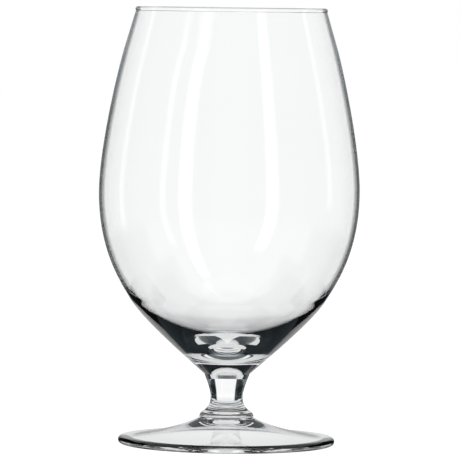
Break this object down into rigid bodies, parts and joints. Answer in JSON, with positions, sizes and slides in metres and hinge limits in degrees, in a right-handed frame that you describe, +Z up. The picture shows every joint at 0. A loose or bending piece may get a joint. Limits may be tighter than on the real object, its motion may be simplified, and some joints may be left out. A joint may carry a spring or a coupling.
{
  "type": "beer glass",
  "caption": "Clear glass beer glass with a tall rounded bowl that draws in to the rim, on a short waisted stem and a round trumpet-shaped foot.",
  "frame": {"origin": "centre of the foot's resting face, on the surface that the glass stands on", "axes": "+Z up along the axis that the bowl, stem and foot are turned about; +X and +Y are alike, because the glass is round"},
  "size_m": [0.0896, 0.0896, 0.15],
  "materials": {
    "clear_glass": "fire-polished, smooth and clear, with a faint cool tint in the thick parts"
  },
  "bodies": {
    "root": {"bowl": "clear_glass", "stem": "clear_glass", "foot": "clear_glass"}
  },
  "joints": []
}
